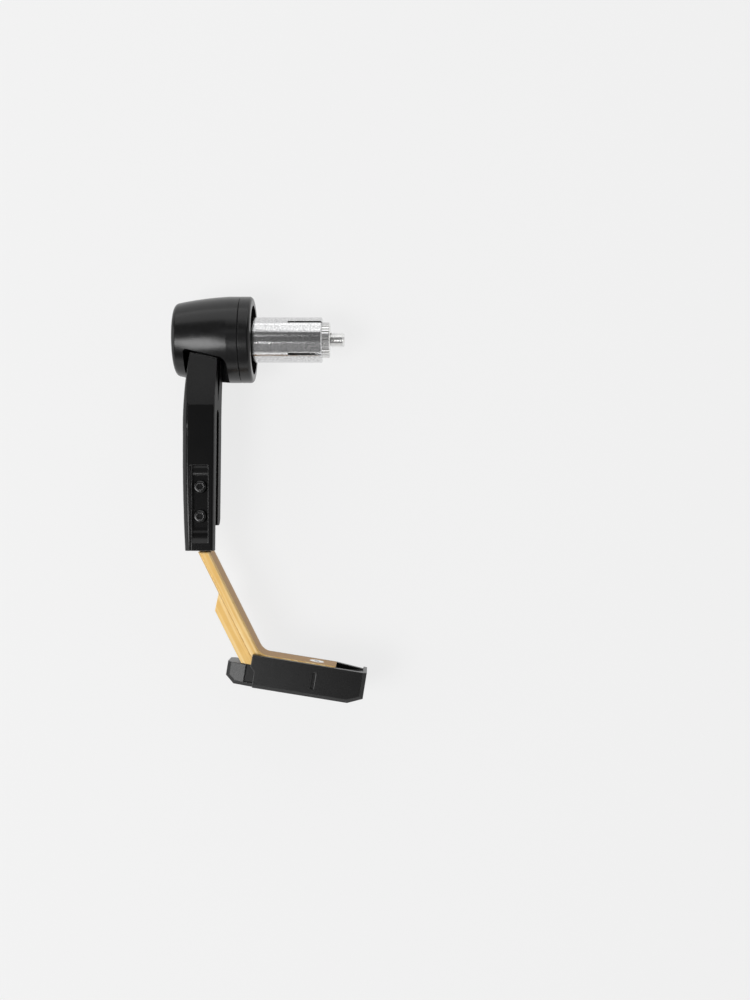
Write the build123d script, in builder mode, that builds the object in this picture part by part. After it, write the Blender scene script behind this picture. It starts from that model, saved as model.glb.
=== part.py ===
from build123d import *
import os
from math import cos, radians, sin, tan

# Lever guard: a bar end with an expanding plug carries a curved arm, whose sliding lower half ends in a shoe.
# Frame: +X along the handlebar towards its middle, -Y towards the front, +Z up.
# Origin: on the bar's axis, in the plane of the end ring's rim.

# Bar end and ring, turned about X
RING_RADIUS = 16.3
RING_LENGTH = 4.6
BODY_LENGTH = 24.9
OUTER_END_RADIUS = 13.5
BODY_BULGE = 0.45
FULL_RADIUS_LENGTH = 4.2
OUTER_CORNER = 2.0
SEAM_CHAMFER = 0.25
RIM_FILLET = 1.3
RECESS_RADIUS = 13.0
RECESS_DEPTH = 3.0
SPIGOT_RADIUS = 8.0
SPIGOT_LENGTH = 2.4
SPIGOT_CLEARANCE = 0.05

# Expander bolt, M6 with a low head
BOLT_RADIUS = 2.95
BOLT_HEAD_RADIUS = 5.0
BOLT_HEAD_HEIGHT = 3.0
BOLT_HEAD_SUNK = 0.4
BOLT_SOCKET_WIDTH = 4.0
BOLT_SOCKET_DEPTH = 2.0
BOLT_TIP_BEYOND_NUT = 5.4
BOLT_TIP_CHAMFER = 0.7
BOLT_HOLE_CLEARANCE = 0.25
HEAD_BORE_CLEARANCE = 0.3
WASHER_THICKNESS = 0.9
WASHER_BORE_CLEARANCE = 0.15

# Expanding sleeve and its cone nut
SLEEVE_RADIUS = 8.6
SLEEVE_REACH = 26.1
SLEEVE_CHAMFER = 0.35
SLEEVE_SEAT_CLEARANCE = 0.05
SLIT_START = 13.3
SLIT_WIDTH = 1.0
SLIT_COUNT = 4
SLIT_FIRST_ANGLE = 45.0
CONE_LENGTH = 8.0
CONE_SMALL_RADIUS = 4.6
CONE_LARGE_RADIUS = 6.3
CONE_CLEARANCE = 0.1
NUT_RADIUS = 6.7
NUT_LENGTH = 3.0
NUT_ROUND = 0.7
NUT_THREAD_CLEARANCE = 0.04
KNURL_COUNT = 36
KNURL_DEPTH = 0.3

# Pocket in the bar end that keys the arm
POCKET_OUTER_X = -25.0
POCKET_INNER_X = -8.9
POCKET_TOP_Y = -4.9
POCKET_TOP_SLOPE = 12.3
POCKET_OUTER_ROUND = 1.2
POCKET_INNER_ROUND = 4.0
POCKET_GAP = 0.4

# Upper arm: plan outline and depth
ARM_UNDER_Z = -3.0
ARM_DEPTH = 14.0
ARM_TOP_LEFT_X = -23.0
ARM_TOP_RIGHT_X = -12.1
ARM_BEND_LEFT = (-25.05, -20.5)
ARM_BEND_RIGHT = (-12.6, -20.5)
ARM_STRAIGHT_Y = -37.0
ARM_LEFT_X = -25.6
ARM_RIGHT_X = -12.85
ARM_FOOT_LEFT_X = -24.7
ARM_FOOT_RIGHT_X = -13.35
ARM_FOOT_LEFT_BULGE = 0.35
ARM_FOOT_Y = -79.8
ARM_RIGHT_DRAFT = 3.0
ARM_RIM_FILLET = 2.2
ARM_EDGE_FILLET = 0.8
ARM_SHOULDER_Y = -25.5
ARM_SHOULDER_DROP = 2.0
RIM_GROOVE_X = -22.5
RIM_GROOVE_LENGTH = 31.8
RIM_GROOVE_WIDTH = 0.7
RIM_GROOVE_DEPTH = 0.6

# Eye of the arm round the bolt, in its slot in the bar end
EYE_RADIUS = 8.0
EYE_THICKNESS = 6.0
EYE_CENTRE_X = -17.6
EYE_CLEARANCE = 0.15

# Fork of the arm
FORK_UNDER_Z = 2.0
FORK_WIDTH = 4.5
FORK_LENGTH = 50.8
FORK_SPINE = 2.6
REAR_CHEEK_SHORT = 9.3
REAR_CHEEK_ROUND = 3.0
SIDE_HOLLOW_Y = -24.5
SIDE_HOLLOW_TAPER = 9.0
SIDE_HOLLOW_DEPTH = 2.2

# Pocket and clamp screws on the arm's front
SCREW_POCKET_X = -19.0
SCREW_POCKET_WIDTH = 6.1
SCREW_POCKET_DEPTH = 2.0
SCREW_POCKET_LENGTH = 29.0
SCREW_POCKET_FOOT_WALL = 2.9
SCREW_POCKET_TOP_RAMP = 4.1
SCREW_POCKET_FOOT_RAMP = 5.9
CLAMP_SCREW_FOOT = 12.8
CLAMP_SCREW_PITCH = 11.0
CLAMP_SCREW_RADIUS = 1.5
CLAMP_HEAD_RADIUS = 2.5
CLAMP_HEAD_HEIGHT = 1.8
CLAMP_HEAD_ROUND = 0.9
CLAMP_SOCKET_WIDTH = 2.5
CLAMP_SOCKET_DEPTH = 1.3
CLAMP_HOLE_CLEARANCE = 0.15
CLAMP_THREAD_DEPTH = 4.4
THREAD_CLEARANCE = 0.02

# Lower arm: tongue, slanted run, fin and lower run
TONGUE_CLEARANCE = 0.1
TONGUE_SIDE_CLEARANCE = 0.3
TONGUE_WALL = 2.0
TONGUE_END_WALL = 3.5
TONGUE_SLOT_CLEARANCE = 0.2
TONGUE_HIP = 4.0
LENGTH_TRAVEL = 10.0
FORK_FOOT_GAP = 0.4
BAR_THICKNESS = 3.8
BAR_LEFT_X = -19.7
BAR_SLANT = 26.5
BAR_EDGE_CHAMFER = 0.5
ELBOW_DROP = 38.1
ELBOW_RADIUS = 5.5
LOWER_SLOPE = 9.2
LOWER_RUN_LENGTH = 28.3
FIN_START = 17.1
FIN_RISE = 5.2
FIN_WIDTH = 4.1
FIN_STEP = 0.6
FIN_CORNER_ROUND = 1.0

# Shoe on the lower run
SHOE_WALL = 2.0
SHOE_CLEARANCE = 0.1
SHOE_BAR_PROUD = 0.3
SHOE_HEIGHT = 12.2
SHOE_WALL_START = -2.7
SHOE_WALL_JOG = 1.6
SHOE_WALL_JOG_DROP = 0.3
SHOE_REACH = 40.1
SHOE_HEEL = -11.7
SHOE_HEEL_DROP = 4.15
SHOE_HEEL_STEP = 1.9
SHOE_HEEL_SLOPE = 8.0
SHOE_TOE_CHAMFER = 2.4
SHOE_TOE_CHAMFER_RUN = 5.5
SHOE_HEEL_CHAMFER = 2.7
SHOE_HEEL_CHAMFER_RUN = 3.3
SHOE_EDGE_CHAMFER = 1.4
SHOE_GROOVE_WIDTH = 2.0
SHOE_GROOVE_DEPTH = 1.2
TOE_RECESS_DEPTH = 2.9
TOE_RECESS_RISE = 1.6
TOE_RECESS_WALL = 1.4
TOE_REAR_DROP = 1.0
NUT_SLOT_WIDTH = 1.4
NUT_SLOT_LENGTH = 6.6
NUT_SLOT_DROP = 2.7
NUT_SLOT_DEPTH = 0.8

# Shoe screw and its insert
SHOE_SCREW_ALONG = 20.9
SHOE_SCREW_RADIUS = 1.5
SHOE_HEAD_RADIUS = 2.7
SHOE_HEAD_HEIGHT = 1.6
SHOE_SOCKET_WIDTH = 2.0
SHOE_SOCKET_DEPTH = 1.0
SHOE_HEAD_CLEARANCE = 0.15
INSERT_RADIUS = 2.3
INSERT_LENGTH = 5.0
INSERT_CLEARANCE = 0.02

# Places worked out from the sizes above
seam_x = -RING_LENGTH
outer_x = seam_x - BODY_LENGTH
full_radius_x = seam_x - FULL_RADIUS_LENGTH
head_seat_x = outer_x + BOLT_HEAD_SUNK + BOLT_HEAD_HEIGHT + WASHER_THICKNESS
sleeve_base_x = -RECESS_DEPTH + SLEEVE_SEAT_CLEARANCE
nut_tip_x = SLEEVE_REACH + NUT_LENGTH
bolt_tip_x = nut_tip_x + BOLT_TIP_BEYOND_NUT
bolt_hole_radius = BOLT_RADIUS + BOLT_HOLE_CLEARANCE
cone_start_x = SLEEVE_REACH - CONE_LENGTH
arm_front_z = ARM_UNDER_Z + ARM_DEPTH
arm_mid_z = ARM_UNDER_Z + ARM_DEPTH / 2
fork_over_z = FORK_UNDER_Z + FORK_WIDTH
pocket_floor_z = arm_front_z - SCREW_POCKET_DEPTH
fork_top_y = ARM_FOOT_Y + FORK_LENGTH
fork_mid_z = FORK_UNDER_Z + FORK_WIDTH / 2
rear_cheek_y = ARM_FOOT_Y + REAR_CHEEK_SHORT
pocket_foot_y = ARM_FOOT_Y + SCREW_POCKET_FOOT_WALL
pocket_head_y = pocket_foot_y + SCREW_POCKET_LENGTH
clamp_ys = [ARM_FOOT_Y + CLAMP_SCREW_FOOT + step * CLAMP_SCREW_PITCH for step in (1, 0)]
shoe_front_z = arm_front_z + SHOE_CLEARANCE + SHOE_WALL
shoe_under_z = ARM_UNDER_Z - SHOE_CLEARANCE - SHOE_WALL
bar_top_y = ARM_FOOT_Y - FORK_FOOT_GAP
spine_x = ARM_LEFT_X + FORK_SPINE
tongue_slot_radius = CLAMP_SCREW_RADIUS + TONGUE_SLOT_CLEARANCE
tongue_right_x = SCREW_POCKET_X + tongue_slot_radius + TONGUE_WALL
tongue_left_x = spine_x + TONGUE_SIDE_CLEARANCE
tongue_slot_top_y = clamp_ys[0] + LENGTH_TRAVEL
tongue_top_y = tongue_slot_top_y + tongue_slot_radius + TONGUE_END_WALL
tongue_under_z = FORK_UNDER_Z + TONGUE_CLEARANCE
wall_top_v = -SHOE_BAR_PROUD
heel_top_v = wall_top_v - SHOE_HEEL_DROP
shoe_foot_v = wall_top_v - SHOE_HEIGHT
fin_end_v = heel_top_v + SHOE_CLEARANCE
fin_end_u = SHOE_WALL_START - SHOE_CLEARANCE
elbow_turn = 90 - LOWER_SLOPE - BAR_SLANT


def pocket_top(x, gap=0.0):
    """Height in Y of the pocket's slanted end wall at x, less a gap."""
    return POCKET_TOP_Y - (x - POCKET_OUTER_X) * tan(radians(POCKET_TOP_SLOPE)) - gap


def along_bar(distance, outward=0.0):
    """Point on the slanted run, measured down its left edge and out to the left of it."""
    slant = radians(BAR_SLANT)
    x = BAR_LEFT_X + distance * sin(slant) - outward * cos(slant)
    y = bar_top_y - distance * cos(slant) - outward * sin(slant)
    return (x, y)


def along_x(x, out=1):
    """Plane across the bar's axis at x, its normal pointing inward along the bar or, with -1, outward."""
    return Plane(origin=(x, 0, 0), x_dir=(0, out, 0), z_dir=(out, 0, 0))


# The lower run's own plane: u along the run, v square to it towards the rider
elbow_x = BAR_LEFT_X + (BAR_THICKNESS / cos(radians(BAR_SLANT))) + ELBOW_DROP * tan(radians(BAR_SLANT))
elbow_y = bar_top_y - ELBOW_DROP
run_dir = (cos(radians(LOWER_SLOPE)), -sin(radians(LOWER_SLOPE)))
run_up = (sin(radians(LOWER_SLOPE)), cos(radians(LOWER_SLOPE)))


def on_run(u, v):
    """Point at u along the lower run and v above the bar's upper face there."""
    return (elbow_x + u * run_dir[0] + v * run_up[0], elbow_y + u * run_dir[1] + v * run_up[1])


def above_run(point):
    """Height v of a point above the bar's upper face on the lower run."""
    return (point.X - elbow_x) * run_up[0] + (point.Y - elbow_y) * run_up[1]


def down_run(point):
    """Distance u of a point along the lower run from the elbow."""
    return (point.X - elbow_x) * run_dir[0] + (point.Y - elbow_y) * run_dir[1]


def screw_plane(v):
    """Plane square to the shoe screw's axis at height v, its normal pointing out of the screw's head."""
    x, y = on_run(SHOE_SCREW_ALONG, v)
    return Plane(origin=(x, y, arm_mid_z), x_dir=(run_dir[0], run_dir[1], 0), z_dir=(run_up[0], run_up[1], 0))


def heel_plane(side_z, inward):
    """Plane of the heel's stepped face on one side, falling away from the wall towards the heel's end."""
    x, y = on_run(SHOE_WALL_START, 0)
    lean = radians(SHOE_HEEL_SLOPE)
    across = (run_dir[0] * cos(lean), run_dir[1] * cos(lean), -inward * sin(lean))
    normal = (inward * run_dir[0] * sin(lean), inward * run_dir[1] * sin(lean), cos(lean))
    return Plane(origin=(x, y, side_z + inward * SHOE_HEEL_STEP), x_dir=across, z_dir=normal)


def bar_corners(grow=0.0):
    """Corners of the bent bar's plan outline, grown by a clearance: from the top left, clockwise."""
    half_turn = tan(radians(elbow_turn / 2))
    slant = radians(BAR_SLANT)
    wide = BAR_THICKNESS / cos(slant)
    spread = grow / cos(slant)
    inner_elbow = on_run(grow * half_turn, grow)
    outer_elbow = on_run(-(BAR_THICKNESS + grow) * half_turn, -BAR_THICKNESS - grow)
    toe = LOWER_RUN_LENGTH + grow
    return [(BAR_LEFT_X - spread, bar_top_y), (BAR_LEFT_X + wide + spread, bar_top_y), inner_elbow,
            on_run(toe, grow), on_run(toe, -BAR_THICKNESS - grow), outer_elbow]


def fin_foot():
    """Outer corner of the fin where it stands on the shoe's heel."""
    turn = radians(elbow_turn)
    climb = (fin_end_v + BAR_THICKNESS + FIN_WIDTH * cos(turn)) / sin(turn)
    u = -BAR_THICKNESS * tan(turn / 2) - FIN_WIDTH * sin(turn) - climb * cos(turn)
    return on_run(u, fin_end_v)


os.makedirs("parts", exist_ok=True)

# Bar end: tapered body with a bolt hole, a spigot bore, the arm's pocket and the slot for its eye
with BuildPart() as bar_end:
    with BuildSketch(Plane.XY):
        with BuildLine():
            taper_mid_x = (outer_x + full_radius_x) / 2
            taper_mid_radius = (OUTER_END_RADIUS + RING_RADIUS) / 2 + BODY_BULGE
            Polyline((outer_x, OUTER_END_RADIUS), (outer_x, 0), (seam_x, 0), (seam_x, RING_RADIUS),
                     (full_radius_x, RING_RADIUS))
            ThreePointArc((full_radius_x, RING_RADIUS), (taper_mid_x, taper_mid_radius),
                          (outer_x, OUTER_END_RADIUS))
        make_face()
    revolve(axis=Axis.X)
    fillet(bar_end.edges().filter_by(GeomType.CIRCLE).group_by(Axis.X)[0], OUTER_CORNER)
    chamfer(bar_end.edges().filter_by(GeomType.CIRCLE).group_by(Axis.X)[-1], SEAM_CHAMFER)
    with Locations(along_x(outer_x, -1)):
        CounterBoreHole(bolt_hole_radius, BOLT_HEAD_RADIUS + HEAD_BORE_CLEARANCE, head_seat_x - outer_x)
    with BuildSketch(along_x(seam_x)):
        Circle(SPIGOT_RADIUS + SPIGOT_CLEARANCE)
    extrude(amount=-(SPIGOT_LENGTH + SPIGOT_CLEARANCE), mode=Mode.SUBTRACT)
    with BuildSketch(Plane.XY.offset(ARM_UNDER_Z)):
        with BuildLine():
            inner_corner = (POCKET_INNER_X, pocket_top(POCKET_INNER_X))
            outer_corner = (POCKET_OUTER_X, pocket_top(POCKET_OUTER_X))
            Polyline(outer_corner, inner_corner, (POCKET_INNER_X, -2 * RING_RADIUS),
                     (POCKET_OUTER_X, -2 * RING_RADIUS), close=True)
        make_face()
        fillet(vertices().sort_by_distance(inner_corner)[0], POCKET_INNER_ROUND)
        fillet(vertices().sort_by_distance(outer_corner)[0], POCKET_OUTER_ROUND)
    extrude(amount=2 * RING_RADIUS, mode=Mode.SUBTRACT)
    with BuildSketch(along_x(EYE_CENTRE_X)):
        Circle(EYE_RADIUS + EYE_CLEARANCE)
        with Locations((-RING_RADIUS, 0)):
            Rectangle(2 * RING_RADIUS, 2 * (EYE_RADIUS + EYE_CLEARANCE))
    extrude(amount=EYE_THICKNESS / 2 + EYE_CLEARANCE, both=True, mode=Mode.SUBTRACT)
bar_end.part.label = "bar_end"
export_step(bar_end.part, "parts/bar_end.step")

# End ring: rounded rim round a recess for the handlebar, with a spigot into the body
with BuildPart() as end_ring:
    with BuildSketch(along_x(seam_x)):
        Circle(RING_RADIUS)
    extrude(amount=RING_LENGTH)
    fillet(end_ring.edges().filter_by(GeomType.CIRCLE).group_by(Axis.X)[-1], RIM_FILLET)
    chamfer(end_ring.edges().filter_by(GeomType.CIRCLE).group_by(Axis.X)[0], SEAM_CHAMFER)
    with BuildSketch(along_x(seam_x)):
        Circle(SPIGOT_RADIUS)
    extrude(amount=-SPIGOT_LENGTH)
    with BuildSketch(along_x(0)):
        Circle(RECESS_RADIUS)
    extrude(amount=-RECESS_DEPTH, mode=Mode.SUBTRACT)
    with BuildSketch(along_x(0)):
        Circle(bolt_hole_radius)
    extrude(amount=-(RING_LENGTH + SPIGOT_LENGTH), mode=Mode.SUBTRACT)
end_ring.part.label = "end_ring"
export_step(end_ring.part, "parts/end_ring.step")

# Washer under the bolt's head
with BuildPart() as bolt_washer:
    with BuildSketch(along_x(head_seat_x)):
        Circle(BOLT_HEAD_RADIUS)
        Circle(BOLT_RADIUS + WASHER_BORE_CLEARANCE, mode=Mode.SUBTRACT)
    extrude(amount=-WASHER_THICKNESS)
bolt_washer.part.label = "bolt_washer"
export_step(bolt_washer.part, "parts/bolt_washer.step")

# Expander bolt: low head with a hex socket, and a shank that stands out past the nut
with BuildPart() as expander_bolt:
    head_under_x = head_seat_x - WASHER_THICKNESS
    with BuildSketch(along_x(head_under_x)):
        Circle(BOLT_HEAD_RADIUS)
    extrude(amount=-BOLT_HEAD_HEIGHT)
    with BuildSketch(along_x(head_under_x)):
        Circle(BOLT_RADIUS)
    extrude(amount=bolt_tip_x - head_under_x)
    chamfer(expander_bolt.edges().filter_by(GeomType.CIRCLE).group_by(Axis.X)[-1], BOLT_TIP_CHAMFER)
    with BuildSketch(along_x(head_under_x - BOLT_HEAD_HEIGHT)):
        RegularPolygon(BOLT_SOCKET_WIDTH / 2, 6, major_radius=False)
    extrude(amount=BOLT_SOCKET_DEPTH, mode=Mode.SUBTRACT)
expander_bolt.part.label = "expander_bolt"
export_step(expander_bolt.part, "parts/expander_bolt.step")

# Expanding sleeve: tube with a tapered mouth for the cone, slit from its free end
with BuildPart() as expander_sleeve:
    with BuildSketch(Plane.XY):
        with BuildLine():
            Polyline((sleeve_base_x, bolt_hole_radius), (sleeve_base_x, SLEEVE_RADIUS),
                     (SLEEVE_REACH, SLEEVE_RADIUS), (SLEEVE_REACH, CONE_LARGE_RADIUS + CONE_CLEARANCE),
                     (cone_start_x, CONE_SMALL_RADIUS + CONE_CLEARANCE),
                     (SLIT_START, CONE_SMALL_RADIUS + CONE_CLEARANCE), (SLIT_START, bolt_hole_radius),
                     close=True)
        make_face()
    revolve(axis=Axis.X)
    outer_rims = expander_sleeve.edges().filter_by(GeomType.CIRCLE)
    chamfer(outer_rims.filter_by(lambda e: e.radius > SLEEVE_RADIUS - SLEEVE_CHAMFER), SLEEVE_CHAMFER)
    with BuildSketch(along_x(SLIT_START)):
        with PolarLocations(SLEEVE_RADIUS, SLIT_COUNT, start_angle=90 - SLIT_FIRST_ANGLE):
            Rectangle(2 * SLEEVE_RADIUS, SLIT_WIDTH)
    extrude(amount=SLEEVE_REACH - SLIT_START, mode=Mode.SUBTRACT)
expander_sleeve.part.label = "expander_sleeve"
export_step(expander_sleeve.part, "parts/expander_sleeve.step")

# Cone nut: tapered nose inside the sleeve, and a knurled head with a rounded end outside it
with BuildPart() as cone_nut:
    nut_bore = BOLT_RADIUS + NUT_THREAD_CLEARANCE
    with BuildSketch(Plane.XY):
        with BuildLine():
            Polyline((cone_start_x, nut_bore), (cone_start_x, CONE_SMALL_RADIUS),
                     (SLEEVE_REACH, CONE_LARGE_RADIUS), (SLEEVE_REACH, NUT_RADIUS),
                     (nut_tip_x, NUT_RADIUS), (nut_tip_x, nut_bore), close=True)
        make_face()
    revolve(axis=Axis.X)
    nut_rims = cone_nut.edges().filter_by(GeomType.CIRCLE).filter_by(lambda e: e.radius > CONE_LARGE_RADIUS)
    fillet(nut_rims.sort_by(Axis.X)[-1], NUT_ROUND)
    with BuildSketch(along_x(SLEEVE_REACH)):
        with PolarLocations(NUT_RADIUS, KNURL_COUNT):
            Rectangle(2 * KNURL_DEPTH, KNURL_DEPTH, rotation=45)
    extrude(amount=NUT_LENGTH, mode=Mode.SUBTRACT)
cone_nut.part.label = "cone_nut"
export_step(cone_nut.part, "parts/cone_nut.step")

# Upper arm: curved bar with an eye at the bolt, a fork for the lower arm and a pocket for the clamp screws
with BuildPart() as upper_arm:
    with BuildSketch(Plane.XY.offset(ARM_UNDER_Z)):
        with BuildLine():
            top_left = (ARM_TOP_LEFT_X, pocket_top(ARM_TOP_LEFT_X, POCKET_GAP))
            top_right = (ARM_TOP_RIGHT_X, pocket_top(ARM_TOP_RIGHT_X, POCKET_GAP))
            Line(top_left, top_right)
            ThreePointArc(top_right, ARM_BEND_RIGHT, (ARM_RIGHT_X, ARM_STRAIGHT_Y))
            Polyline((ARM_RIGHT_X, ARM_STRAIGHT_Y), (ARM_FOOT_RIGHT_X, ARM_FOOT_Y),
                     (ARM_FOOT_LEFT_X, ARM_FOOT_Y))
            bulge_x = (ARM_FOOT_LEFT_X + ARM_LEFT_X) / 2 - ARM_FOOT_LEFT_BULGE
            ThreePointArc((ARM_FOOT_LEFT_X, ARM_FOOT_Y), (bulge_x, (ARM_FOOT_Y + ARM_STRAIGHT_Y) / 2),
                          (ARM_LEFT_X, ARM_STRAIGHT_Y))
            ThreePointArc((ARM_LEFT_X, ARM_STRAIGHT_Y), ARM_BEND_LEFT, top_left)
        make_face()
    extrude(amount=ARM_DEPTH)
    right_faces = upper_arm.faces().filter_by(lambda f: f.normal_at().X > 0.9)
    draft(right_faces, Plane.XY.offset(ARM_UNDER_Z), ARM_RIGHT_DRAFT)
    front_edges = upper_arm.edges().group_by(Axis.Z)[-1].filter_by(lambda e: e.length > ARM_DEPTH)
    rim_edges = front_edges.filter_by(lambda e: e.center().X < EYE_CENTRE_X)
    fillet(rim_edges, ARM_RIM_FILLET)
    long_edges = upper_arm.edges().filter_by(lambda e: e.length > ARM_DEPTH)
    fillet(long_edges.group_by(Axis.Z)[-1].filter_by(lambda e: e.center().X > EYE_CENTRE_X), ARM_EDGE_FILLET)
    with BuildSketch(Plane.YZ):
        with BuildLine():
            Polyline((ARM_SHOULDER_Y, arm_front_z), (0, arm_front_z), (0, arm_front_z - ARM_SHOULDER_DROP),
                     close=True)
        make_face()
    extrude(amount=2 * RING_RADIUS, both=True, mode=Mode.SUBTRACT)
    with BuildSketch(Plane.YZ.offset(ARM_RIGHT_X + ARM_DEPTH)):
        with BuildLine():
            Polyline((fork_top_y, FORK_UNDER_Z), (2 * ARM_FOOT_Y, FORK_UNDER_Z),
                     (2 * ARM_FOOT_Y, fork_over_z), (fork_top_y, fork_over_z))
            ThreePointArc((fork_top_y, fork_over_z), (fork_top_y + FORK_WIDTH / 2, fork_mid_z),
                          (fork_top_y, FORK_UNDER_Z))
        make_face()
    extrude(amount=-(ARM_RIGHT_X + ARM_DEPTH - spine_x), mode=Mode.SUBTRACT)
    with BuildSketch(Plane.YZ.offset(ARM_TOP_RIGHT_X - SIDE_HOLLOW_DEPTH)):
        with BuildLine():
            full_y = SIDE_HOLLOW_Y + SIDE_HOLLOW_TAPER
            Polyline((SIDE_HOLLOW_Y, fork_mid_z), (full_y, fork_over_z), (0, fork_over_z), (0, FORK_UNDER_Z),
                     (full_y, FORK_UNDER_Z), close=True)
        make_face()
    extrude(amount=ARM_DEPTH, mode=Mode.SUBTRACT)
    with BuildSketch(Plane.YZ):
        with BuildLine():
            Polyline((2 * ARM_FOOT_Y, FORK_UNDER_Z), (rear_cheek_y, FORK_UNDER_Z),
                     (rear_cheek_y, ARM_UNDER_Z + REAR_CHEEK_ROUND))
            RadiusArc((rear_cheek_y, ARM_UNDER_Z + REAR_CHEEK_ROUND),
                      (rear_cheek_y + REAR_CHEEK_ROUND, ARM_UNDER_Z), -REAR_CHEEK_ROUND)
            Polyline((rear_cheek_y + REAR_CHEEK_ROUND, ARM_UNDER_Z), (2 * ARM_FOOT_Y, ARM_UNDER_Z),
                     (2 * ARM_FOOT_Y, FORK_UNDER_Z))
        make_face()
    extrude(amount=2 * ARM_LEFT_X, mode=Mode.SUBTRACT)
    with BuildSketch(Plane.YZ.offset(SCREW_POCKET_X)):
        with BuildLine():
            top_floor_y = pocket_head_y - SCREW_POCKET_TOP_RAMP
            foot_floor_y = pocket_foot_y + SCREW_POCKET_FOOT_RAMP
            Line((top_floor_y, pocket_floor_z), (foot_floor_y, pocket_floor_z))
            TangentArc((foot_floor_y, pocket_floor_z), (pocket_foot_y, arm_front_z), tangent=(-1, 0))
            Line((pocket_foot_y, arm_front_z), (pocket_head_y, arm_front_z))
            TangentArc((top_floor_y, pocket_floor_z), (pocket_head_y, arm_front_z), tangent=(1, 0))
        make_face()
    extrude(amount=SCREW_POCKET_WIDTH / 2, both=True, mode=Mode.SUBTRACT)
    with BuildSketch(Plane.XY.offset(arm_front_z)):
        with Locations((RIM_GROOVE_X, ARM_FOOT_Y)):
            Rectangle(RIM_GROOVE_WIDTH, 2 * RIM_GROOVE_LENGTH)
    extrude(amount=-RIM_GROOVE_DEPTH, mode=Mode.SUBTRACT)
    with Locations(*[(SCREW_POCKET_X, y, arm_front_z) for y in clamp_ys]):
        Hole(CLAMP_SCREW_RADIUS + CLAMP_HOLE_CLEARANCE, depth=arm_front_z - FORK_UNDER_Z)
    with Locations(*[(SCREW_POCKET_X, y, FORK_UNDER_Z) for y in clamp_ys]):
        Hole(CLAMP_SCREW_RADIUS + THREAD_CLEARANCE, depth=CLAMP_THREAD_DEPTH)
    with BuildSketch(along_x(EYE_CENTRE_X)):
        Circle(EYE_RADIUS)
        with Locations((-EYE_RADIUS, (ARM_UNDER_Z + EYE_RADIUS) / 2)):
            Rectangle(2 * EYE_RADIUS, EYE_RADIUS - ARM_UNDER_Z)
        Circle(bolt_hole_radius, mode=Mode.SUBTRACT)
    extrude(amount=EYE_THICKNESS / 2, both=True)
upper_arm.part.label = "upper_arm"
export_step(upper_arm.part, "parts/upper_arm.step")

# Clamp screws: low socket heads in the pocket, shanks through the fork into the rear cheek
for clamp_name, clamp_y in zip(("clamp_screw_upper", "clamp_screw_lower"), clamp_ys):
    with BuildPart() as clamp_screw:
        with BuildSketch(Plane.XY.offset(pocket_floor_z)):
            with Locations((SCREW_POCKET_X, clamp_y)):
                Circle(CLAMP_HEAD_RADIUS)
        extrude(amount=CLAMP_HEAD_HEIGHT)
        fillet(clamp_screw.edges().group_by(Axis.Z)[-1], CLAMP_HEAD_ROUND)
        with BuildSketch(Plane.XY.offset(pocket_floor_z)):
            with Locations((SCREW_POCKET_X, clamp_y)):
                Circle(CLAMP_SCREW_RADIUS)
        extrude(amount=-(pocket_floor_z - FORK_UNDER_Z + CLAMP_THREAD_DEPTH - CLAMP_SCREW_RADIUS / 2))
        with BuildSketch(Plane.XY.offset(pocket_floor_z + CLAMP_HEAD_HEIGHT)):
            with Locations((SCREW_POCKET_X, clamp_y)):
                RegularPolygon(CLAMP_SOCKET_WIDTH / 2, 6, major_radius=False)
        extrude(amount=-CLAMP_SOCKET_DEPTH, mode=Mode.SUBTRACT)
    clamp_screw.part.label = clamp_name
    export_step(clamp_screw.part, f"parts/{clamp_name}.step")

# Lower arm: tongue in the fork, slanted run with a fin, elbow and the lower run that carries the shoe
with BuildPart() as lower_arm:
    with BuildSketch(Plane.XY.offset(ARM_UNDER_Z)):
        bar = bar_corners()
        with BuildLine():
            Polyline(*bar, close=True)
        make_face()
        fillet(vertices().sort_by_distance(bar[2])[0], ELBOW_RADIUS)
        fillet(vertices().sort_by_distance(bar[5])[0], ELBOW_RADIUS + BAR_THICKNESS)
    extrude(amount=ARM_DEPTH)
    bar_faces = lower_arm.faces().filter_by(Axis.Z)
    chamfer(bar_faces.edges(), BAR_EDGE_CHAMFER)
    with BuildSketch(Plane.XY.offset(ARM_UNDER_Z + FIN_STEP)):
        fin_corner = along_bar(FIN_START + FIN_RISE, FIN_WIDTH)
        with BuildLine():
            Polyline(along_bar(FIN_START), fin_corner, fin_foot(), on_run(fin_end_u, fin_end_v),
                     on_run(fin_end_u, 0), along_bar(FIN_START + FIN_RISE, -BAR_THICKNESS / 2), close=True)
        make_face()
        fillet(vertices().sort_by_distance(fin_corner)[0], FIN_CORNER_ROUND)
    extrude(amount=ARM_DEPTH - 2 * FIN_STEP)
    with BuildSketch(Plane.XY.offset(tongue_under_z)):
        with BuildLine():
            Polyline((tongue_left_x, tongue_top_y), (tongue_right_x, tongue_top_y),
                     (tongue_right_x, bar_top_y),
                     along_bar(TONGUE_HIP, -BAR_THICKNESS / 2), along_bar(BAR_EDGE_CHAMFER),
                     (tongue_left_x, bar_top_y + TONGUE_HIP), close=True)
        make_face()
    extrude(amount=FORK_WIDTH - 2 * TONGUE_CLEARANCE)
    with BuildSketch(Plane.XY.offset(tongue_under_z)):
        with Locations((SCREW_POCKET_X, (clamp_ys[-1] + tongue_slot_top_y) / 2)):
            SlotCenterToCenter(tongue_slot_top_y - clamp_ys[-1], 2 * tongue_slot_radius, rotation=90)
    extrude(amount=FORK_WIDTH, mode=Mode.SUBTRACT)
    with Locations(screw_plane(0)):
        CounterBoreHole(SHOE_SCREW_RADIUS + CLAMP_HOLE_CLEARANCE, SHOE_HEAD_RADIUS + SHOE_HEAD_CLEARANCE,
                        SHOE_HEAD_HEIGHT, depth=2 * BAR_THICKNESS)
lower_arm.part.label = "lower_arm"
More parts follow.
